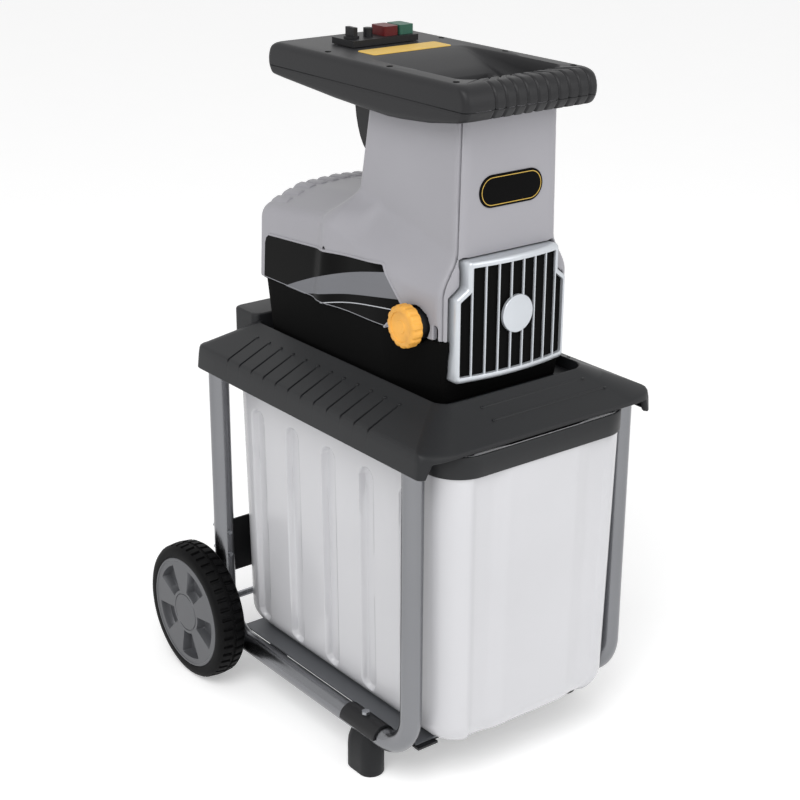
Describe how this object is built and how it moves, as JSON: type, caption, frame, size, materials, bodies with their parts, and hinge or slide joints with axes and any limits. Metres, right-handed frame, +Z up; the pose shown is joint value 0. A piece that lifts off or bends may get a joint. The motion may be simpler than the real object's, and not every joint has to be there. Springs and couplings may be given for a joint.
{
  "type": "garden shredder",
  "caption": "Electric garden shredder: black feed tray on a grey tower, slow cutting drum with gear motor, silver grille, and a milky slide-out box in a wheeled tube frame.",
  "frame": {"origin": "on the ground under the centre of the machine box", "axes": "+X to the right for someone facing the grille from the front, +Y to the rear where the wheels are, +Z up"},
  "size_m": [0.4676, 0.5976, 0.934],
  "materials": {
    "tube_grey": "satin metallic paint",
    "sheet_grey": "satin paint",
    "black_metal": "satin black paint",
    "foot_rubber": "matte",
    "tyre_black": "matte",
    "wheel_grey": "fine moulded grain",
    "steel": "machined",
    "cast_alloy": "cast",
    "black_plastic": "fine moulded grain",
    "box_clear": "milky, translucent",
    "housing_grey": "satin grain",
    "silver_plastic": "silver paint",
    "knob_yellow": "satin",
    "green_plastic": "smooth",
    "red_plastic": "smooth",
    "dark_grey_plastic": "smooth",
    "winding": "varnished winding and lamination"
  },
  "bodies": {
    "machine": {"left_frame_tube": "tube_grey", "right_frame_tube": "tube_grey", "floor_plate": "sheet_grey", "rear_cross_plate": "black_metal", "front_cross_plate": "black_metal", "rear_floor_strap": "black_metal", "left_axle_bracket": "black_metal", "right_axle_bracket": "black_metal", "left_foot": "foot_rubber", "right_foot": "foot_rubber", "frame_bolts": "steel", "foot_bolts": "steel", "axle": "steel", "axle_retainers": "steel", "tray_screws": "steel", "drum_bearings": "steel", "crusher_housing": "cast_alloy", "gearbox_housing": "cast_alloy", "motor_flange": "cast_alloy", "deck": "black_plastic", "discharge_chute": "black_plastic", "interlock_switch": "black_plastic", "lower_housing": "black_plastic", "grille_insert": "black_plastic", "left_decal": "black_plastic", "right_decal": "black_plastic", "badge_plate": "black_plastic", "feed_chute": "black_plastic", "hopper_base": "black_plastic", "hopper_tray": "black_plastic", "switch_box": "black_plastic", "switch_panel": "black_plastic", "power_inlet": "black_plastic", "knob_collar": "black_plastic", "left_housing_shell": "housing_grey", "right_housing_shell": "housing_grey", "front_cover": "housing_grey", "grille_frame": "silver_plastic", "grille_disc": "silver_plastic", "motor_stator": "winding"},
    "left_wheel": {"left_wheel_rim": "wheel_grey", "left_tyre": "tyre_black", "left_hub_cap": "wheel_grey"},
    "right_wheel": {"right_wheel_rim": "wheel_grey", "right_tyre": "tyre_black", "right_hub_cap": "wheel_grey"},
    "box": {"collection_box": "box_clear", "box_rim": "black_plastic"},
    "drum": {"cutting_drum": "steel", "drum_gear": "steel"},
    "countershaft": {"intermediate_gear": "steel"},
    "rotor": {"motor_rotor": "steel", "cooling_fan": "black_plastic"},
    "plate": {"pressure_plate": "steel"},
    "knob": {"adjusting_screw": "steel", "adjusting_knob": "knob_yellow"},
    "start_switch": {"start_button": "green_plastic"},
    "stop_switch": {"stop_button": "red_plastic"},
    "reset_switch": {"reset_button": "dark_grey_plastic"},
    "selector": {"direction_selector": "black_plastic"}
  },
  "joints": [
    {"name": "left_wheel_spin", "type": "hinge", "parent": "machine", "child": "left_wheel", "pos_m": [-0.211, 0.19875, 0.1], "axis": [1, 0, 0], "continuous": true},
    {"name": "right_wheel_spin", "type": "hinge", "parent": "machine", "child": "right_wheel", "pos_m": [0.211, 0.19875, 0.1], "axis": [1, 0, 0], "continuous": true},
    {"name": "box_slide", "type": "slide", "parent": "machine", "child": "box", "axis": [0, -1, 0], "range_m": [0, 0.5]},
    {"name": "drum_spin", "type": "hinge", "parent": "machine", "child": "drum", "pos_m": [0, -0.15025, 0.612], "axis": [0, 1, 0], "continuous": true},
    {"name": "countershaft_spin", "type": "hinge", "parent": "machine", "child": "countershaft", "pos_m": [0.06365, -0.07025, 0.64875], "axis": [0, 1, 0], "continuous": true},
    {"name": "rotor_spin", "type": "hinge", "parent": "machine", "child": "rotor", "pos_m": [0.03148, 0.00975, 0.62175], "axis": [0, 1, 0], "continuous": true},
    {"name": "knob_turn", "type": "hinge", "parent": "machine", "child": "knob", "pos_m": [-0.12, -0.17025, 0.612], "axis": [1, 0, 0], "range_deg": [0, 720]},
    {"name": "plate_slide", "type": "slide", "parent": "machine", "child": "plate", "axis": [1, 0, 0], "range_m": [0, 0.003]},
    {"name": "start_press", "type": "slide", "parent": "machine", "child": "start_switch", "axis": [0, 0, -1], "range_m": [0, 0.003], "stiffness_N_per_m": 600, "springref_m": -0.002},
    {"name": "stop_press", "type": "slide", "parent": "machine", "child": "stop_switch", "axis": [0, 0, -1], "range_m": [0, 0.003], "stiffness_N_per_m": 600, "springref_m": -0.002},
    {"name": "reset_press", "type": "slide", "parent": "machine", "child": "reset_switch", "axis": [0, 0, -1], "range_m": [0, 0.003], "stiffness_N_per_m": 600, "springref_m": -0.002},
    {"name": "selector_turn", "type": "hinge", "parent": "machine", "child": "selector", "pos_m": [-0.038, 0.05275, 0.92], "axis": [0, 0, 1], "range_deg": [-45, 45]}
  ],
  "couplings": [
    {"joint": "countershaft_spin", "follows": "drum_spin", "ratio": -6},
    {"joint": "rotor_spin", "follows": "drum_spin", "ratio": 36},
    {"joint": "knob_turn", "follows": "plate_slide", "rad_per_m": 4188.8}
  ]
}
